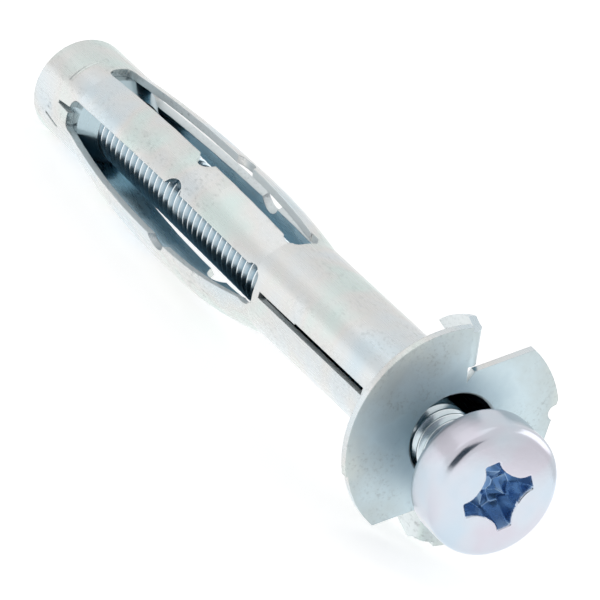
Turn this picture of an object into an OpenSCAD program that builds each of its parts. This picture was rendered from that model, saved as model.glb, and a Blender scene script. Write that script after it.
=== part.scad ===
// Hollow wall anchor: a slotted sheet-steel sleeve, pre-bent so its legs spring
// outward, with a threaded nut crimped in its far end and a pan head screw
// already driven through it. Lengths in millimetres.
// The anchor lies along X. The origin is on its axis, at the flange's seating
// face: the sleeve runs toward -X, the screw's head is on the +X side, +Z is up.

/* [Sleeve] */
// Outer diameter of the rolled tube, a push fit in an 8 mm drilled hole
tube_diameter = 7.9; // [7.4:0.1:10]
// Thickness of the sheet
sheet = 0.6; // [0.4:0.05:0.8]
// From the seating face of the flange to the far end
sleeve_length = 58.3; // [52:0.5:80]
// Closed length of tube between the flange and the slots
closed_front = 22.6; // [15:0.5:28]
// Closed ring at the far end, which holds the nut
closed_end = 5.3; // [4:0.1:8]

/* [Legs] */
// Turn of the rolled seam from the top of the anchor, in degrees
seam_turn = -103.4; // [-150:1:-60]
// Width of the slot that the seam runs into
seam_slot = 2.45; // [1.6:0.05:3]
// Width of the second and fourth slots
plain_slot = 2.05; // [1.6:0.05:2.4]
// Width of the third slot, at the back
third_slot = 1.4; // [1.3:0.05:1.8]
// Turn from the seam to the middle of the second slot, in degrees
second_slot_turn = 81.5; // [70:0.5:90]
// Turn from the seam to the middle of the third slot, in degrees
third_slot_turn = 141.5; // [140:0.5:160]
// Turn from the seam to the middle of the fourth slot, in degrees
fourth_slot_turn = 229.5; // [220:0.5:270]
// How far the leg between the seam and the second slot stands out at its fold
first_rise = 1.2; // [0.4:0.1:2]
// How far the second and third legs stand out at their folds
back_rise = 0.7; // [0.3:0.1:1.5]
// How far the leg between the fourth slot and the seam stands out at its fold
wide_rise = 1.35; // [0.4:0.05:2]
// Where the legs fold, as a share of the slots' length from the front
fold_share = 0.418; // [0.3:0.01:0.6]
// Radius of the notches that weaken the legs at the fold
fold_notch = 1.4; // [0.9:0.1:1.8]
// How deep the fold notches bite into the edges of the legs
fold_bite = 0.7; // [0.3:0.05:1]
// Radius of the small notches at the front hinge of the legs
hinge_notch = 0.85; // [0.7:0.05:0.95]

/* [Flange] */
// Diameter of the flange
flange_diameter = 16.9; // [15:0.1:20]
// Distance from the axis to the root of each claw
claw_root = 4.97; // [4.6:0.05:5.5]
// Lean of the sheared edge of a claw gap, in degrees from its middle
shear_lean = 51.9; // [40:1:60]
// Lean of the folded edge of a claw gap, in degrees from its middle
fold_lean = 23.1; // [15:1:35]
// Inner radius of the bend that turns a claw backward
claw_bend = 0.5; // [0.3:0.05:0.8]

/* [Screw and nut] */
// Thread diameter of the screw
screw_diameter = 5; // [4:0.25:5.25]
// Gap between the flange's front face and the underside of the head
head_gap = 3.8; // [0.5:0.25:8]
// How far the screw's tip stops short of the sleeve's far end
tip_recess = 2.15; // [0.5:0.1:4]
// How far the screw's axis droops from the sleeve's, in degrees
droop = 0.8; // [0:0.1:0.8]
// Radius of the rounded edge of the screw's head
head_edge = 0.9; // [0.5:0.1:1.5]
// Radial clearance between the screw and the nut
running_gap = 0.08; // [0.07:0.01:0.15]
// Length of the nut
nut_length = 7.5; // [5:0.25:9]

/* [Output] */
// Piece to draw

/* [Hidden] */
$fn = 96;
tube_radius = tube_diameter / 2;
bore_radius = tube_radius - sheet;
flange_radius = flange_diameter / 2;
corner = 0.6;
slot_end = sleeve_length - closed_end;
leg_start = closed_front + 0.75;
leg_end = slot_end - 0.75;
slot_length = slot_end - closed_front;
fold_at = closed_front + fold_share * slot_length;
crest = 3;
front_run = fold_at - crest / 2 - leg_start;
rear_run = leg_end - fold_at - crest / 2;
steps = [0, 0.12, 0.3, 0.5, 0.75, 1];
edge_steps = [0.2, 0.42, 0.66, 0.93];
widest_aside = 80;
hinge_bite = 0.3;
shear_offset = -1.33;
shear_gap = 0.18;
fold_gap = 0.5;
claw_reach = 0.25;
corner_cut = 0.35;
bend_take = (claw_bend + sheet / 2) * 90 * PI / 180;
head_radius = screw_diameter;
head_height = 0.76 * screw_diameter;
screw_radius = screw_diameter / 2;
tip_at = sleeve_length - tip_recess;
tip_lead = 0.6;
recess_turn = -42.4;
nut_rear = sleeve_length - 0.5;
nut_front = nut_rear - nut_length;
nut_lead = 1.9;

// Every piece is drawn with the anchor's depth along +Z and its top along +X,
// then laid down so that the depth runs toward -X.
module lay_down() {
  rotate([0, -90, 0])
    children();
}

// Cross-section of the closed tube.
module tube_outline() {
  difference() {
    circle(r = tube_radius);
    circle(r = bore_radius);
  }
}

// Share of a leg's full rise at a share of the way from its hinge to its crest.
function arch(share) = 1 - (1 - share) * (1 - share);

// Depths along a leg, from before its front hinge to behind its rear one.
function depths() = concat(
  [closed_front - 0.3],
  [for (share = steps) leg_start + share * front_run],
  [for (i = [5:-1:0]) leg_end - steps[i] * rear_run],
  [slot_end + 0.3]
);

// Share of the full rise at each of those depths.
function rises() = concat(
  [0],
  [for (share = steps) arch(share)],
  [for (i = [5:-1:0]) arch(steps[i])],
  [0]
);

// One leg: the arched wall between the middles of two slots, turned about the
// axis. The slots are punched through it afterwards.
module leg(from, span, rise) {
  at = depths();
  up = rises();
  outer = [for (i = [0:13]) [tube_radius + rise * up[i], at[i]]];
  inner = [for (i = [13:-1:0]) [bore_radius + rise * up[i], at[i]]];
  rotate([0, 0, from + 3])
    rotate_extrude(angle = span - 6)
      polygon(concat(outer, inner));
}

// The four legs, each between the middles of two neighbouring slots.
module legs() {
  rotate([0, 0, seam_turn]) {
    leg(0, second_slot_turn, first_rise);
    leg(second_slot_turn, third_slot_turn - second_slot_turn, back_rise);
    leg(third_slot_turn, fourth_slot_turn - third_slot_turn, back_rise);
    leg(fourth_slot_turn, 360 - fourth_slot_turn, wide_rise);
  }
}

// How far the edge of a leg moves aside as the leg rises.
function spread(span, rise) = rise * sin(min(span, widest_aside) / 2);

// One slot, punched through the wall: round-cornered, wider where the legs
// beside it stand out, and notched at the front hinge and at the fold. The low
// and high values belong to the legs on either side of it.
module slot(turn, width, low, high) {
  half = width / 2;
  flat = half - corner;
  front = [for (a = [0:18:90]) [closed_front + corner * (1 - cos(a)), flat + corner * sin(a)]];
  rear = [for (a = [90:-18:0]) [slot_end - corner * (1 - cos(a)), flat + corner * sin(a)]];
  sides = concat(
    [for (share = edge_steps) [leg_start + share * front_run, arch(share)]],
    [for (i = [3:-1:0]) [leg_end - edge_steps[i] * rear_run, arch(edge_steps[i])]]
  );
  high_edge = [for (point = sides) [point[0], half + high * point[1]]];
  low_edge = [for (i = [7:-1:0]) [sides[i][0], -half - low * sides[i][1]]];
  rotate([0, 0, seam_turn + turn])
    translate([0.87 * bore_radius, 0, 0])
      rotate([0, -90, 0])
        mirror([0, 0, 1])
          linear_extrude(height = 2 * tube_radius) {
            polygon(concat(
              front,
              high_edge,
              rear,
              [for (i = [5:-1:0]) [rear[i][0], -rear[i][1]]],
              low_edge,
              [for (i = [5:-1:0]) [front[i][0], -front[i][1]]]
            ));
            translate([fold_at, half + high + fold_bite - fold_notch])
              circle(r = fold_notch);
            translate([fold_at, fold_notch - half - low - fold_bite])
              circle(r = fold_notch);
            for (side = [-1, 1])
              translate([leg_start + 0.4, side * (half + hinge_bite - hinge_notch)])
                circle(r = hinge_notch);
          }
}

// The four slots between the legs.
module slots() {
  first = spread(second_slot_turn, first_rise);
  second = spread(third_slot_turn - second_slot_turn, back_rise);
  third = spread(fourth_slot_turn - third_slot_turn, back_rise);
  wide = spread(360 - fourth_slot_turn, wide_rise);
  slot(0, seam_slot, wide, first);
  slot(second_slot_turn, plain_slot, first, second);
  slot(third_slot_turn, third_slot, second, third);
  slot(fourth_slot_turn, plain_slot, third, wide);
}

// The rolled seam where it stands open: a slit along the closed front, a
// tapered nick in the far ring, and a narrow lanced cut beside it.
module seam_openings() {
  slit = 0.48;
  reach = tube_radius + 1;
  rotate([0, 0, seam_turn]) {
    translate([0, -slit / 2, 6])
      cube([reach, slit, closed_front - 6.8]);
    translate([0, -slit / 2, 6])
      cube([reach, slit + 0.1, 0.46 * closed_front]);
    translate([0, 0, slot_end])
      rotate([0, 90, 0])
        linear_extrude(height = reach)
          polygon([[0.3, 0.05], [0.3, 0.55], [-1.6, 0.38], [-1.6, 0.15]]);
    rotate([0, 0, -23])
      translate([0, 0, sleeve_length - 2.9])
        rotate([-14, 0, 0])
          translate([0, -0.11, -0.95])
            cube([reach, 0.22, 1.9]);
  }
}

// Shallow crimp marks rolled and pricked into the far ring over the nut.
module crimp_marks() {
  rotate([0, 0, -74])
    translate([0, 0, sleeve_length - 3.6])
      rotate_extrude(angle = 50)
        translate([tube_radius + 0.12, 0])
          circle(r = 0.22);
  rotate([0, 0, seam_turn - 9])
    translate([tube_radius + 0.15, 0, sleeve_length - 2.6])
      sphere(r = 0.35);
}

// Outline of the flange's gaps: each is sheared along one side and folded along
// the other, and narrows to a slit at its root.
module gap_outline() {
  reach = 9;
  polygon([
    [tube_radius + 0.06, shear_offset],
    [claw_root, shear_offset + shear_gap],
    [claw_root + reach * cos(shear_lean), shear_offset + shear_gap + reach * sin(shear_lean)],
    [claw_root + reach * cos(fold_lean), shear_offset - fold_gap - reach * sin(fold_lean)],
    [claw_root, shear_offset - fold_gap]
  ]);
}

// A claw before it is folded: the part of the disc between the two sides of a
// gap, a little longer than the rim and with its corner at the bend cut off,
// measured from its fold line.
module claw_outline(fold_length) {
  slope = 0.6;
  intersection() {
    rotate(fold_lean)
      translate([-claw_root, fold_gap - shear_offset])
        intersection() {
          circle(r = flange_radius + claw_reach);
          gap_outline();
        }
    translate([0, bend_take])
      polygon([
        [0, 0],
        [fold_length, 0],
        [fold_length + slope, 2 * slope],
        [fold_length + slope, flange_radius],
        [0, flange_radius]
      ]);
  }
}

// One claw: its root in the disc, the bend along the fold line, and the
// pointed plate behind it.
module claw() {
  root = 0.1;
  aside = shear_offset - fold_gap;
  along = claw_root * cos(fold_lean) - aside * sin(fold_lean);
  to_rim = sqrt(along * along + pow(flange_radius, 2) - pow(claw_root, 2) - aside * aside);
  fold_length = to_rim - along - corner_cut;
  translate([claw_root, aside, 0])
    rotate([0, 0, -fold_lean]) {
      translate([root, -0.6, -sheet])
        cube([fold_length - root, 0.6, sheet]);
      translate([0, 0, claw_bend])
        rotate([0, 90, 0])
          rotate_extrude(angle = 90)
            translate([claw_bend, root])
              square([sheet, fold_length - root]);
      translate([0, claw_bend + sheet, claw_bend])
        rotate([90, 0, 0])
          linear_extrude(height = sheet)
            translate([0, -bend_take])
              claw_outline(fold_length);
    }
}

// Flat outline of the flange, with the tube's mouth in its middle.
module flange_outline() {
  difference() {
    circle(r = flange_radius);
    circle(r = bore_radius);
    for (half = [0, 180])
      rotate(half) {
        gap_outline();
        rim_step();
      }
    rim_flat();
  }
}

// The rim stands back a little from each sheared corner to a small step.
module rim_step() {
  difference() {
    polygon([[0, 0], [19.3, 5.2], [12.4, 15.7]]);
    circle(r = flange_radius - 0.15);
  }
}

// One stretch of the rim is cut off straight, and ends in a small bite.
module rim_flat() {
  rotate(78.6)
    translate([flange_radius * 0.877, -flange_radius])
      square([flange_radius, 2 * flange_radius]);
  rotate(59)
    translate([flange_radius - 0.4, 0])
      circle(r = 0.6);
}

// The sleeve, one stamped and rolled piece: clawed flange, closed front,
// four legs and the far ring crimped round the nut.
module sleeve() {
  color("LightSteelBlue")
    lay_down()
      difference() {
        union() {
          translate([0, 0, -sheet])
            linear_extrude(height = sheet)
              flange_outline();
          translate([0, 0, -sheet])
            linear_extrude(height = closed_front + 0.25 + sheet)
              tube_outline();
          translate([0, 0, slot_end - 0.25])
            linear_extrude(height = closed_end + 0.25)
              tube_outline();
          for (half = [0, 180])
            rotate([0, 0, half])
              claw();
          legs();
        }
        slots();
        seam_openings();
        crimp_marks();
        mouth_edge();
      }
}

// The slightly broken front edge of the tube's mouth.
module mouth_edge() {
  translate([0, 0, -sheet - 0.01])
    cylinder(r1 = bore_radius + 0.16, r2 = bore_radius, h = 0.16);
}

// The nut pressed into the far ring: a plain round insert with a tapered
// front end and a threaded hole, drawn as its plain bore.
module nut() {
  color("Silver")
    lay_down()
      difference() {
        union() {
          translate([0, 0, nut_front])
            cylinder(r1 = bore_radius - 0.75, r2 = bore_radius, h = nut_lead);
          translate([0, 0, nut_front + nut_lead])
            cylinder(r = bore_radius, h = nut_length - nut_lead);
        }
        translate([0, 0, nut_front - 1])
          cylinder(r = screw_radius + running_gap, h = nut_length + 2);
      }
}

// Half of the pan head's section above its bearing face: a straight side, a
// rounded edge and a low dome that meets it smoothly.
function head_section() =
  let (
    dome = 5 * head_radius,
    dome_at = head_height - dome,
    edge_in = head_radius - head_edge,
    edge_up = sqrt(pow(dome - head_edge, 2) - edge_in * edge_in),
    sweep = atan2(edge_up, edge_in)
  )
  concat(
    [[head_radius, 0]],
    [for (i = [0:7]) [
      edge_in + head_edge * cos(i / 7 * sweep),
      dome_at + edge_up + head_edge * sin(i / 7 * sweep)
    ]],
    [for (i = [1:6]) [
      dome * cos(sweep + i / 6 * (90 - sweep)),
      dome_at + dome * sin(sweep + i / 6 * (90 - sweep))
    ]]
  );

// Cross recess for the driver: four tapered wings round a conical core.
module recess() {
  reach = 0.54 * screw_diameter;
  wing = 0.24 * screw_diameter;
  deep = 0.5 * screw_diameter;
  intersection() {
    for (turn = [0, 90])
      rotate([0, 0, turn])
        translate([-reach, -wing / 2, 0])
          cube([2 * reach, wing, deep + 1]);
    cylinder(r1 = 0.3 * screw_diameter, r2 = reach * 1.2, h = deep + 1);
  }
  cylinder(r1 = 0.16 * screw_diameter, r2 = 0.42 * screw_diameter, h = deep + 1);
}

// The screw before it droops, tip upward: pan head, shank at the thread's outer
// diameter and chamfered tip.
module straight_screw() {
  under = -sheet - head_gap;
  long = tip_at - under;
  difference() {
    translate([0, 0, under])
      rotate_extrude()
        polygon(concat(
          [[0, long], [screw_radius - tip_lead, long]],
          [[screw_radius, long - tip_lead], [screw_radius, 0]],
          [for (point = head_section()) [point[0], -point[1]]]
        ));
    translate([0, 0, under - head_height])
      mirror([0, 0, 1])
        translate([0, 0, -0.5 * screw_diameter])
          rotate([0, 0, recess_turn])
            recess();
  }
}

// The screw as it lies: its head has sunk a little, turned about the middle of
// the nut as far as the play between them allows.
module screw() {
  nut_middle = nut_front + nut_length / 2;
  color("Gainsboro")
    lay_down()
      translate([0, 0, nut_middle])
        rotate([0, droop, 0])
          translate([0, 0, -nut_middle])
            straight_screw();
}

sleeve();
nut();
screw();
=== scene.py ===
# %% [markdown]
# # A hollow wall anchor in zinc-plated steel
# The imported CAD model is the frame: three solids, a sleeve, a nut and a screw,
# each at its true size and place. This script dresses them. The sleeve and the
# nut keep their CAD shapes and get a material. The screw is drawn anew, with a
# real thread and a soft-edged head, and stands for the CAD screw.
# All lengths are in millimetres until a mesh is made, and MM turns them to metres.

import math

import bmesh
import bpy
import numpy as np
from mathutils import Matrix, Vector


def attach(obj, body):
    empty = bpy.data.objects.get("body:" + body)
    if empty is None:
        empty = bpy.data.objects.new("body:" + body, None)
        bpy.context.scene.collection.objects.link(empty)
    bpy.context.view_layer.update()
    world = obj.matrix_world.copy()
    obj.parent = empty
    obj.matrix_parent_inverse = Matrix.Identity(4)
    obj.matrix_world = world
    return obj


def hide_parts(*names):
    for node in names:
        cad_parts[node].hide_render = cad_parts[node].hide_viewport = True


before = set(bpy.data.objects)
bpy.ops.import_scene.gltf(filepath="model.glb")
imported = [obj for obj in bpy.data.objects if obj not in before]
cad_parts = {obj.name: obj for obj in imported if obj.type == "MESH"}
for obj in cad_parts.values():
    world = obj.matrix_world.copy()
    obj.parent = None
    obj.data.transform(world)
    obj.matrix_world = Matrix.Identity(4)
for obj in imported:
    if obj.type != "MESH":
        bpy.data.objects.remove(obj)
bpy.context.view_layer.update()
MM = 0.001

# %% [markdown]
# ## The screw's own axis
# The screw hangs a little askew in its nut, so its head is lower than the
# sleeve's middle. A point of the screw is given by its depth behind the wall's
# face, its distance from the screw's axis and its turn about that axis. One
# function lays such points down: depth runs toward -X, the turn starts at the
# top (+Z) and goes toward +Y, and all is then tipped about the nut's middle.

# %% Place points on the drooping axis
DROOP = math.radians(0.8)
PIVOT_DEPTH = 54.05
HEAD_UNDER = -4.4
HEAD_RADIUS = 5.0
HEAD_HEIGHT = 3.8
TIP_DEPTH = 56.15
PITCH = 0.8


def on_screw(depth, radius, turn):
    """Depth, radius and turn (radians) as points in the row frame, in metres.

    The straight point is (-depth, radius * sin(turn), radius * cos(turn)). It is
    then turned by the droop about the Y direction, through the pivot depth.
    """
    along = PIVOT_DEPTH - depth
    up = radius * np.cos(turn)
    x = along * math.cos(DROOP) + up * math.sin(DROOP) - PIVOT_DEPTH
    y = radius * np.sin(turn)
    z = up * math.cos(DROOP) - along * math.sin(DROOP)
    return np.stack(np.broadcast_arrays(x, y, z), axis=-1) * MM


def four_cornered(*corners):
    """Faces from four arrays of point numbers of one shape, one array for each corner."""
    return np.stack(corners, axis=-1).reshape(-1, 4)


def mesh_object(name, points, faces, values):
    """An object from points in metres, four-cornered faces and named point values."""
    mesh = bpy.data.meshes.new(name)
    mesh.from_pydata(points.tolist(), [], faces.tolist())
    for key, data in values.items():
        field = mesh.attributes.new(key, "FLOAT", "POINT")
        field.data.foreach_set("value", data.astype(np.float32))
    piece = bpy.data.objects.new(name, mesh)
    bpy.context.scene.collection.objects.link(piece)
    return piece


def weld(piece):
    """Joins points that coincide, caps open ends, turns faces outward, shades smoothly."""
    work = bmesh.new()
    work.from_mesh(piece.data)
    bmesh.ops.remove_doubles(work, verts=work.verts, dist=2e-7)
    bmesh.ops.dissolve_degenerate(work, edges=work.edges, dist=1e-7)
    bmesh.ops.holes_fill(work, edges=work.edges, sides=0)
    bmesh.ops.recalc_face_normals(work, faces=work.faces)
    open_edges = sum(1 for edge in work.edges if not edge.is_manifold)
    work.to_mesh(piece.data)
    work.free()
    piece.data.shade_smooth()
    print(piece.name, "has", len(piece.data.polygons), "faces and", open_edges, "open edges")


print("head centre drops by", round((PIVOT_DEPTH - HEAD_UNDER) * math.sin(DROOP), 2), "mm")

# %% [markdown]
# ## Thread
# A coarse M5 thread climbs 0.8 mm each turn. Its surface is one strip: the
# section of a groove is carried round the axis, and the depth of every point
# grows by one pitch in a full turn, so the end of each turn is the start of the
# next. Depths beyond the ends are held at the ends, which closes the strip.
# Blender's Screw modifier could turn the section too, but it can't narrow the
# tip or mark the tops. A value marks the tops here, for a painted highlight.

# %% Draw the threaded shank
ROUND_STEPS = 72
CREST_RADIUS = 2.5
ROOT_RADIUS = 2.02
CREST_HIGHLIGHT_FROM = 2.4
CREST_HIGHLIGHT_RUN = 0.07
TIP_LEAD = 0.75
IN_HEAD = 0.3
# One pitch of the groove, as share of the pitch and radius.
SECTION = np.array([
    (0.00, 2.02), (0.10, 2.02), (0.15, 2.05), (0.40, 2.44), (0.44, 2.485),
    (0.50, 2.50), (0.56, 2.485), (0.60, 2.44), (0.85, 2.05), (0.90, 2.02),
])


def threaded_shank():
    """A helical strip: each row is one step of the turn, each column a point of the groove.

    Depth is start + pitch * (turns so far + share of the groove's section), and
    the radius is the groove's, but never outside the cone of the tip's lead. The
    last row joins the first, shifted by one groove.
    """
    start, end = HEAD_UNDER - IN_HEAD, TIP_DEPTH
    turns = math.ceil((end - start) / PITCH) + 2
    shares = (np.arange(turns)[:, None] - 1 + SECTION[:, 0]).ravel()
    step = np.arange(ROUND_STEPS)[:, None] / ROUND_STEPS
    depth = start + PITCH * (shares + step)
    tip_limit = CREST_RADIUS - TIP_LEAD + np.clip(end - depth, 0, TIP_LEAD)
    radius = np.minimum(np.tile(SECTION[:, 1], turns), tip_limit)
    radius = np.where(depth >= end, CREST_RADIUS - TIP_LEAD, radius)
    radius = np.where(depth <= start, ROOT_RADIUS, radius)
    points = on_screw(np.clip(depth, start, end), radius, 2 * np.pi * step)
    # This value marks the crests, where the material paints a highlight.
    crest = np.clip((radius - CREST_HIGHLIGHT_FROM) / CREST_HIGHLIGHT_RUN, 0, 1)
    numbers = np.arange(depth.size).reshape(depth.shape)
    shift = len(SECTION)
    sides = (numbers[:-1], numbers[1:]), (numbers[-1:, :-shift], numbers[:1, shift:])
    faces = np.concatenate([
        four_cornered(here[:, :-1], here[:, 1:], there[:, 1:], there[:, :-1]) for here, there in sides
    ])
    return points.reshape(-1, 3), faces, crest.ravel()


shank_points, shank_faces, shank_crest = threaded_shank()
print("thread turns:", round((TIP_DEPTH - HEAD_UNDER) / PITCH, 1), "in", len(shank_faces), "faces")

# %% [markdown]
# ## Head
# The head is one skin of rings, from the middle of its top to the middle of its
# underside. Its section is a low dome, a rounded edge that meets the dome
# smoothly, a straight side and a slightly broken lower edge.

# %% The head's section
HEAD_EDGE = 0.9
DOME = 5 * HEAD_RADIUS
FINE_RINGS_TO = 2.95


def head_section():
    """The section as ring radii and heights over the bearing face.

    The dome's circle has its middle on the axis. The edge's circle touches it
    from inside where the line through both middles cuts them.
    """
    inner = HEAD_RADIUS - HEAD_EDGE
    rise = math.sqrt((DOME - HEAD_EDGE) ** 2 - inner**2)
    sweep = math.atan2(rise, inner)
    base = HEAD_HEIGHT - DOME
    fine = np.linspace(0, FINE_RINGS_TO, 74)
    top = np.concatenate([fine, np.linspace(FINE_RINGS_TO + 0.15, DOME * math.cos(sweep), 8)])
    dome = np.stack([top, base + np.sqrt(DOME**2 - top**2)], axis=1)
    turns = np.linspace(sweep, 0, 10)[1:]
    edge = np.stack([inner + HEAD_EDGE * np.cos(turns), base + rise + HEAD_EDGE * np.sin(turns)], axis=1)
    inset = np.array([0, 0, 0, 0.03, 0.1, 0.22, 0.6, 2.6, HEAD_RADIUS])
    side = np.stack([HEAD_RADIUS - inset, [1.6, 0.5, 0.3, 0.15, 0.05, 0, 0, 0, 0]], axis=1)
    return np.concatenate([dome, edge, side]), len(top)


section, top_rings = head_section()
print("head:", len(section), "rings,", round(section[:, 1].max(), 2), "mm high")

# %% [markdown]
# ### Cross recess
# A punch presses it into the top: four wings round a cone. A cutter shaped like
# the punch would leave slivers along the dome, so the recess is a depth instead.
# It is worked out for every point of the top from the distance to the two wings
# and to the cone, and the point sinks by it.

# %% Sink the recess
HEAD_STEPS = 240
RECESS_TURN = math.radians(-42.4)
RECESS_DEEP = 2.3
CORE_RADIUS = 1.5
CORE_STEEP = 2.4
WING_REACH = 2.7
WING_STEEP = 2.2
WING_HALF = 0.5
WING_FLARE = 0.95
FLARE_FROM = 2.45
FLARE_RUN = 1.5
WALL_RUN = 0.16
FLOOR_DISH = 0.9
TINT_RUN = 0.2


def recess_depth(across, along):
    """How far a point of the head's top sinks, from its place on the two wings' lines.

    Each wing slopes down from its tip, has steep walls and flares toward the
    middle with the square of the way in, which rounds the corners between the
    wings. The deepest of the two wings and the cone in the middle counts.
    """
    depth = CORE_STEEP * (CORE_RADIUS - np.hypot(across, along))
    for u, v in ((across, along), (along, across)):
        way_in = np.clip((FLARE_FROM - np.abs(u)) / FLARE_RUN, 0, 1)
        half = WING_HALF + WING_FLARE * way_in**2
        wall = np.clip((half - np.abs(v)) / WALL_RUN + 0.5, 0, 1)
        dish = RECESS_DEEP - FLOOR_DISH * way_in**2 * np.abs(v)
        floor_depth = np.minimum(WING_STEEP * (WING_REACH - np.abs(u)), dish)
        depth = np.maximum(depth, floor_depth * wall)
    return np.clip(depth, 0, RECESS_DEEP)


def head_skin():
    """Rings of points from the top's middle to the underside's middle.

    A point lies at its ring's radius and at its ring's height less the recess's
    depth there. How far it sank, up to 1, is kept to paint shade in the recess.
    """
    radius, height = section[:, :1], section[:, 1:]
    turn = np.arange(HEAD_STEPS) / HEAD_STEPS * 2 * np.pi
    sunk = recess_depth(radius * np.cos(turn - RECESS_TURN), radius * np.sin(turn - RECESS_TURN))
    sunk[top_rings:] = 0
    points = on_screw(HEAD_UNDER - (height - sunk), radius, turn)
    here = np.arange(sunk.size).reshape(sunk.shape)
    beside = np.roll(here, -1, axis=1)
    faces = four_cornered(here[:-1], beside[:-1], beside[1:], here[1:])
    return points.reshape(-1, 3), faces, np.clip(sunk / TINT_RUN, 0, 1).ravel()


head_points, head_faces, head_recess = head_skin()
print("head skin:", len(head_faces), "faces")

# %% Join shank and head
shank_count = len(shank_points)
no_shank, no_head = np.zeros(shank_count), np.zeros(len(head_points))
screw = mesh_object(
    "screw_threaded",
    np.concatenate([shank_points, head_points]),
    np.concatenate([shank_faces, shank_count + head_faces]),
    {
        "crest": np.concatenate([shank_crest, no_head]),
        "recess": np.concatenate([no_shank, head_recess]),
        "shank": np.concatenate([no_shank + 1, no_head]),
    },
)
weld(screw)
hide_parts("screw")
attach(screw, "screw")

# %% [markdown]
# ## Metal
# All three pieces are mild steel, electroplated with zinc and passivated. The
# plating is a bright pale grey. The passivation film is thinner than a
# wavelength of light and tints it blue, green or straw in soft patches some
# millimetres wide. Painted image textures could carry the patches, but noise in
# object coordinates needs no unwrapping and is sharp from any distance. Colours
# are written as sRGB codes and turned to linear once.

# %% Helpers for materials
def linear(code):
    """A six-digit sRGB colour code as a linear RGBA colour."""
    parts = [int(code[i:i + 2], 16) / 255 for i in (1, 3, 5)]
    return (*[p / 12.92 if p <= 0.04045 else ((p + 0.055) / 1.055) ** 2.4 for p in parts], 1)


def add(tree, kind, values=None, links=None, **settings):
    """Adds one node: its settings, its constant sockets and the links into it."""
    node = tree.nodes.new(kind)
    for key, value in settings.items():
        setattr(node, key, value)
    for key, value in (values or {}).items():
        node.inputs[key].default_value = value
    for key, socket in (links or {}).items():
        tree.links.new(socket, node.inputs[key])
    return node


def ramp_between(tree, factor, stops):
    """A colour ramp from (position, colour) stops."""
    node = add(tree, "ShaderNodeValToRGB", links={"Fac": factor})
    node.color_ramp.elements.remove(node.color_ramp.elements[1])
    for k, (position, colour) in enumerate(stops):
        element = node.color_ramp.elements[0] if k == 0 else node.color_ramp.elements.new(position)
        element.position = position
        element.color = colour
    return node.outputs["Color"]


def grey(level):
    """A neutral colour of a given linear level."""
    return (level, level, level, 1)


def mixed(tree, factor, first, second):
    """Two colours mixed by a factor; each may be a socket or a constant colour."""
    node = add(tree, "ShaderNodeMix", data_type="RGBA")
    for index, value in ((0, factor), (6, first), (7, second)):
        if isinstance(value, bpy.types.NodeSocket):
            tree.links.new(value, node.inputs[index])
        else:
            node.inputs[index].default_value = value
    return node.outputs[2]


def computed(tree, operation, first, second=0.0):
    """One step of arithmetic; each input may be a socket or a number."""
    node = add(tree, "ShaderNodeMath", operation=operation)
    for index, value in ((0, first), (1, second)):
        if isinstance(value, bpy.types.NodeSocket):
            tree.links.new(value, node.inputs[index])
        else:
            node.inputs[index].default_value = value
    return node.outputs[0]


def between(tree, value, low, high):
    """0 below low, 1 above high and straight between them."""
    node = add(tree, "ShaderNodeMapRange", {"From Min": low, "From Max": high}, {"Value": value})
    return node.outputs["Result"]


def new_metal(name):
    """An empty metal material: its tree, its surface node and coordinates in mm."""
    material = bpy.data.materials.new(name)
    material.use_nodes = True
    tree = material.node_tree
    surface = tree.nodes["Principled BSDF"]
    surface.inputs["Metallic"].default_value = 1
    place = add(tree, "ShaderNodeTexCoord")
    in_mm = add(
        tree, "ShaderNodeVectorMath", {"Scale": 1 / MM}, {0: place.outputs["Object"]}, operation="SCALE"
    )
    return material, tree, surface, in_mm.outputs[0], place.outputs["Normal"]


def noise(tree, place, scale, detail=3.0, roughness=0.55):
    """Soft noise with a given number of waves per millimetre."""
    node = add(
        tree, "ShaderNodeTexNoise",
        {"Scale": scale, "Detail": detail, "Roughness": roughness}, {"Vector": place},
    )
    return node.outputs["Fac"]


def stretched(tree, place, scale):
    """Coordinates stretched so that a noise runs in streaks along the axis."""
    return add(tree, "ShaderNodeVectorMath", {1: scale}, {0: place}, operation="MULTIPLY").outputs[0]


def soft_edges(tree, surface, height, strength, distance, radius):
    """Relief from a height and edges that catch the light as if rounded."""
    edge = add(tree, "ShaderNodeBevel", {"Radius": radius * MM}, samples=6)
    bump = add(
        tree, "ShaderNodeBump", {"Strength": strength, "Distance": distance * MM},
        {"Height": height, "Normal": edge.outputs["Normal"]},
    )
    tree.links.new(bump.outputs["Normal"], surface.inputs["Normal"])
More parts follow.
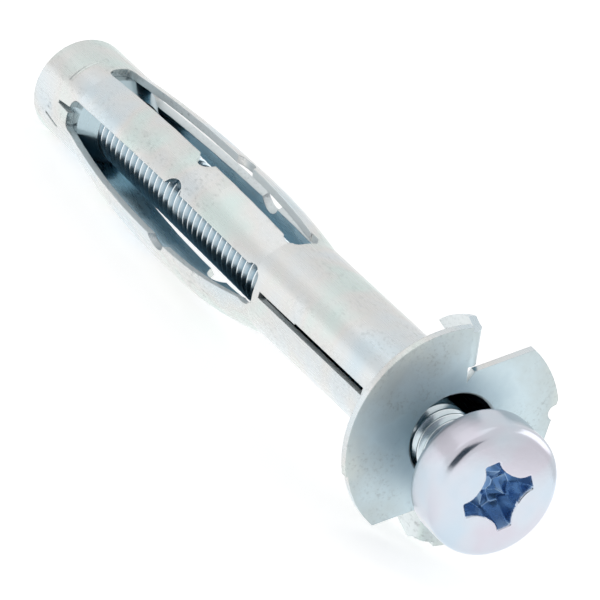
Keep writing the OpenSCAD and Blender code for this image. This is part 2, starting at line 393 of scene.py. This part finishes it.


# %% [markdown]
# ### Plated sheet of the sleeve
# Rolled sheet, stamped, plated and passivated: satin rather than mirror-bright,
# with fine rolling streaks along the axis and small dull specks. The flange's
# face is painted darker and bluer toward the mouth, as shade under the head.
# The bore is painted dark blue, as the shade inside the tube. The sheared
# edges of the slots are rougher than the sheet's faces and painted paler, as a
# highlight. Walls and edges are told apart by how far a face's plane passes
# from the axis: the tube's walls lie more than 3.1 mm from it and the planes of
# the slots' edges less than 2.7. The bore's painted shade fades out where the
# flange begins, 5.6 to 7 mm from the axis.

# %% Sleeve material
WALL_FROM = 3.1
EDGE_TO = 2.7
sheet, tree, surface, place, normal = new_metal("zinc_plated_rolled_sheet")
patches = noise(tree, place, 0.16, 2)
film = ramp_between(tree, patches, [
    (0.30, linear("#C4D0D6")), (0.44, linear("#CDD2D4")),
    (0.54, linear("#D0D0CE")), (0.66, linear("#C8D4D1")),
])
axes = add(tree, "ShaderNodeSeparateXYZ", links={0: place})
flat_place = add(tree, "ShaderNodeVectorMath", {1: (0, 1, 1)}, {0: place}, operation="MULTIPLY").outputs[0]
radius = add(tree, "ShaderNodeVectorMath", links={0: flat_place}, operation="LENGTH").outputs["Value"]
facing = add(tree, "ShaderNodeSeparateXYZ", links={0: normal})
front = computed(
    tree, "MULTIPLY",
    between(tree, axes.outputs["X"], -0.2, 0.3),
    between(tree, facing.outputs["X"], 0.5, 0.9),
)
cloud = computed(tree, "MULTIPLY", computed(tree, "SUBTRACT", noise(tree, place, 0.35), 0.5), 6.0)
# Painted shade: the flange's face is darker and bluer toward the mouth, under the head.
flange_tint_shaded_at_mouth = ramp_between(tree, between(tree, computed(tree, "ADD", radius, cloud), 2.6, 9.0), [
    (0.0, linear("#B2C6D0")), (0.45, linear("#C8D8DE")), (0.8, linear("#BFCACC")), (1.0, linear("#C8D0CE")),
])
outward = add(tree, "ShaderNodeVectorMath", links={0: normal, 1: flat_place}, operation="DOT_PRODUCT")
outward = outward.outputs["Value"]
# Painted shade: the bore's inner walls are dark blue.
bore_shade = computed(
    tree, "MULTIPLY", between(tree, outward, -EDGE_TO, -WALL_FROM), between(tree, radius, 7.0, 5.6)
)
tint = mixed(tree, front, film, flange_tint_shaded_at_mouth)
tint = mixed(tree, bore_shade, tint, linear("#86A8B8"))
aside = between(tree, computed(tree, "ABSOLUTE", outward), WALL_FROM, EDGE_TO)
lengthwise = between(tree, computed(tree, "ABSOLUTE", facing.outputs["X"]), 0.6, 0.3)
sheared_edge_and_highlight = computed(tree, "MULTIPLY", aside, lengthwise)
# Painted highlight: the slots' sheared edges are paler; their extra roughness below is the real finish.
tint = mixed(tree, sheared_edge_and_highlight, tint, linear("#E4E9EA"))
streaks = noise(tree, stretched(tree, place, (0.25, 5, 5)), 1.0, 4)
specks = noise(tree, stretched(tree, place, (1, 1.6, 1.6)), 2.2, 6, 0.7)
rubbed = between(tree, noise(tree, stretched(tree, place, (0.12, 0.3, 0.3)), 1.0, 2), 0.42, 0.7)
worn = computed(tree, "MULTIPLY", between(tree, specks, 0.52, 0.68), rubbed)
tint = mixed(tree, computed(tree, "MULTIPLY", worn, 0.6), tint, linear("#868C8C"))
tree.links.new(tint, surface.inputs["Base Color"])
sheen = computed(tree, "MULTIPLY", streaks, 0.16)
sheen = computed(tree, "ADD", sheen, computed(tree, "MULTIPLY", worn, 0.1))
sheen = computed(tree, "ADD", sheen, computed(tree, "MULTIPLY", sheared_edge_and_highlight, 0.3))
sheen = computed(tree, "ADD", sheen, computed(tree, "MULTIPLY", front, 0.2))
tree.links.new(computed(tree, "ADD", sheen, 0.2), surface.inputs["Roughness"])
grain = computed(tree, "ADD", computed(tree, "MULTIPLY", streaks, 0.4), noise(tree, place, 6.0, 4))
soft_edges(tree, surface, grain, 0.22, 0.02, 0.09)
print(sheet.name, "made")

# %% [markdown]
# ### Plated screw
# Cold-headed and thread-rolled wire: the head is burnished and nearly white, and
# the rolled crests are painted nearly white, as a highlight. The flanks are
# blue-grey, pale near the head and painted darker deeper in, as the shade inside
# the sleeve. The cross recess is painted the deepest blue, as the shade in it.

# %% Screw material
wire, tree, surface, place, normal = new_metal("zinc_plated_rolled_thread")
marks = {
    name: add(tree, "ShaderNodeAttribute", attribute_name=name).outputs["Fac"]
    for name in ("crest", "recess", "shank")
}
burnish = noise(tree, place, 0.22, 2)
head_tint = ramp_between(tree, burnish, [
    (0.35, linear("#BCC9D4")), (0.5, linear("#C3C9D2")), (0.65, linear("#C4C2CC")),
])
# Painted shade: the cross recess is darker blue.
head_tint = mixed(tree, marks["recess"], head_tint, linear("#8EABCB"))
inside = add(tree, "ShaderNodeSeparateXYZ", links={0: place}).outputs["X"]
# Painted shade: the flanks darken from 3 to 12 mm deep, inside the sleeve.
flank_tint_shaded_in_sleeve = mixed(tree, between(tree, inside, -3.0, -12.0), linear("#C0CED4"), linear("#6A8B9D"))
# Painted highlight: the crests are nearly white.
thread_tint = mixed(tree, marks["crest"], flank_tint_shaded_in_sleeve, linear("#DDE4E7"))
tree.links.new(mixed(tree, marks["shank"], head_tint, thread_tint), surface.inputs["Base Color"])
dull = computed(tree, "MULTIPLY", noise(tree, place, 1.3, 4), 0.16)
dull = computed(tree, "ADD", dull, computed(tree, "MULTIPLY", marks["recess"], 0.06))
tree.links.new(computed(tree, "ADD", dull, 0.14), surface.inputs["Roughness"])
fine = noise(tree, place, 3.0, 5)
soft_edges(tree, surface, fine, 0.16, 0.02, 0.05)
print(wire.name, "made")

# %% [markdown]
# ### Plated nut
# Turned bar, plated before it is pressed into the sleeve: even, slightly darker
# grey with faint rings left by the lathe tool.

# %% Nut material
bar, tree, surface, place, normal = new_metal("zinc_plated_turned_bar")
surface.inputs["Base Color"].default_value = linear("#A9BBC2")
rings = noise(tree, stretched(tree, place, (6, 0.2, 0.2)), 1.0, 2)
sheen = computed(tree, "ADD", computed(tree, "MULTIPLY", rings, 0.2), 0.2)
tree.links.new(sheen, surface.inputs["Roughness"])
soft_edges(tree, surface, rings, 0.15, 0.02, 0.05)

for piece, material in ((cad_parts["sleeve"], sheet), (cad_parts["nut"], bar), (screw, wire)):
    piece.data.materials.clear()
    piece.data.materials.append(material)
    print(piece.name, "<-", material.name)

# %% [markdown]
# ## Camera
# A long lens from about 0.6 m away, a little above the axis and turned about
# its own view line, so the anchor crosses the picture from corner to corner.
# The three directions of the camera are worked out as vectors, which is easier
# to follow than three angles of turn one after the other.

# %% Set the camera
AIM = Vector((-8.4, -10.6, 3.2)) * MM
DISTANCE = 580 * MM
AZIMUTH = math.radians(-37.4)
ELEVATION = math.radians(11.55)
ROLL = math.radians(28.6)
LENS_MM = 503

toward = Vector((
    math.cos(ELEVATION) * math.cos(AZIMUTH),
    math.cos(ELEVATION) * math.sin(AZIMUTH),
    math.sin(ELEVATION),
))
level_right = Vector((0, 0, 1)).cross(toward).normalized()
level_up = toward.cross(level_right)
right = level_right * math.cos(ROLL) + level_up * math.sin(ROLL)
up = toward.cross(right)
turn = Matrix((right, up, toward)).transposed().to_4x4()
lens = bpy.data.cameras.new("camera")
lens.lens = LENS_MM
lens.sensor_width = 36
lens.clip_start = 0.01
camera = bpy.data.objects.new("camera", lens)
camera.matrix_world = Matrix.Translation(AIM + toward * DISTANCE) @ turn
bpy.context.scene.collection.objects.link(camera)
bpy.context.scene.camera = camera
print("camera at", [round(v, 4) for v in camera.location])

# %% [markdown]
# ## Floor
# The anchor rests on two places: the rim of its flange and the far end of its
# sleeve. The floor is laid through both, so it slopes a little against the
# anchor's axis. The slope is found from the CAD points: it is the one at which
# the lowest point of the front part and that of the rear part are level. The
# floor is matt white paper that glows a little where it is seen or mirrored, so
# it runs into the white behind it and still takes the anchor's shadow.

# %% Lay the floor
FRONT_FROM = -10 * MM
REAR_TO = -50 * MM
PAPER_HALF = 3.0
corners = np.array([v.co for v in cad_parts["sleeve"].data.vertices])
front_part, rear_part = corners[corners[:, 0] > FRONT_FROM], corners[corners[:, 0] < REAR_TO]
slope = 0.0
for _ in range(40):
    front_low = front_part[np.argmin(front_part[:, 2] - slope * front_part[:, 0])]
    rear_low = rear_part[np.argmin(rear_part[:, 2] - slope * rear_part[:, 0])]
    slope = (front_low[2] - rear_low[2]) / (front_low[0] - rear_low[0])
level = float(front_low[2] - slope * front_low[0])
print("floor slope in degrees:", round(math.degrees(math.atan(slope)), 2))


def flat_card(name, centre, across, along, half_width, half_length):
    """A flat four-cornered card about a centre, spanned by two directions."""
    a, b = across.normalized() * half_width, along.normalized() * half_length
    mesh = bpy.data.meshes.new(name)
    mesh.from_pydata([centre - a - b, centre + a - b, centre + a + b, centre - a + b], [], [(0, 1, 2, 3)])
    card = bpy.data.objects.new(name, mesh)
    bpy.context.scene.collection.objects.link(card)
    return card


uphill = Vector((1, 0, slope))
floor = flat_card("floor", Vector((0, 0, level)), uphill, Vector((0, 1, 0)), PAPER_HALF, PAPER_HALF)
paper = bpy.data.materials.new("white_paper_sweep")
paper.use_nodes = True
tree = paper.node_tree
ray = add(tree, "ShaderNodeLightPath")
seen = computed(tree, "MAXIMUM", ray.outputs["Is Camera Ray"], ray.outputs["Is Transmission Ray"])
mirrored = computed(tree, "MULTIPLY", ray.outputs["Is Glossy Ray"], 0.74)
surface = tree.nodes["Principled BSDF"]
surface.inputs["Base Color"].default_value = linear("#F2F2F2")
surface.inputs["Roughness"].default_value = 0.9
surface.inputs["Emission Color"].default_value = grey(1)
glow = computed(tree, "ADD", computed(tree, "MULTIPLY", seen, 0.5), mirrored)
tree.links.new(glow, surface.inputs["Emission Strength"])
floor.data.materials.append(paper)

# %% [markdown]
# ## Light
# A white studio with two large soft lamps. The world is white where it is seen
# or mirrored and dimmer as a source of light, so the lamps still cast a shadow.
# Shiny metal shows what stands round it, so a dark card stands behind the
# camera: the faces of the thread that look that way mirror it.

# %% Lamps, world and card
WORLD_FILL = 0.55
CARD_AWAY = 0.8
CARD_HALF = 0.36
world = bpy.data.worlds.new("studio")
bpy.context.scene.world = world
world.use_nodes = True
tree = world.node_tree
ray = add(tree, "ShaderNodeLightPath")
seen = computed(tree, "MAXIMUM", ray.outputs["Is Camera Ray"], ray.outputs["Is Glossy Ray"])
seen = computed(tree, "MAXIMUM", seen, ray.outputs["Is Transmission Ray"])
backdrop = tree.nodes["Background"]
backdrop.inputs["Color"].default_value = grey(1)
glow = computed(tree, "ADD", computed(tree, "MULTIPLY", seen, 1 - WORLD_FILL), WORLD_FILL)
tree.links.new(glow, backdrop.inputs["Strength"])


def soft_lamp(name, position_mm, size_mm, watts):
    """A square area lamp that faces the anchor's middle."""
    data = bpy.data.lights.new(name, "AREA")
    data.energy = watts
    data.size = size_mm * MM
    lamp = bpy.data.objects.new(name, data)
    target = Vector((-25, 0, 0)) * MM
    lamp.location = Vector(position_mm) * MM
    lamp.rotation_euler = (target - lamp.location).to_track_quat("-Z", "Y").to_euler()
    bpy.context.scene.collection.objects.link(lamp)


soft_lamp("key", (-300, -350, 520), 620, 0.34)
soft_lamp("rim", (60, 420, 360), 420, 0.5)

card = flat_card("dark_card", toward * CARD_AWAY, level_right, level_up, CARD_HALF, CARD_HALF)
felt = bpy.data.materials.new("dark_blue_felt")
felt.use_nodes = True
surface = felt.node_tree.nodes["Principled BSDF"]
surface.inputs["Base Color"].default_value = linear("#2C4A5C")
surface.inputs["Roughness"].default_value = 1.0
card.data.materials.append(felt)
card.visible_diffuse = False
card.visible_shadow = False

bpy.context.scene.view_settings.view_transform = "Standard"
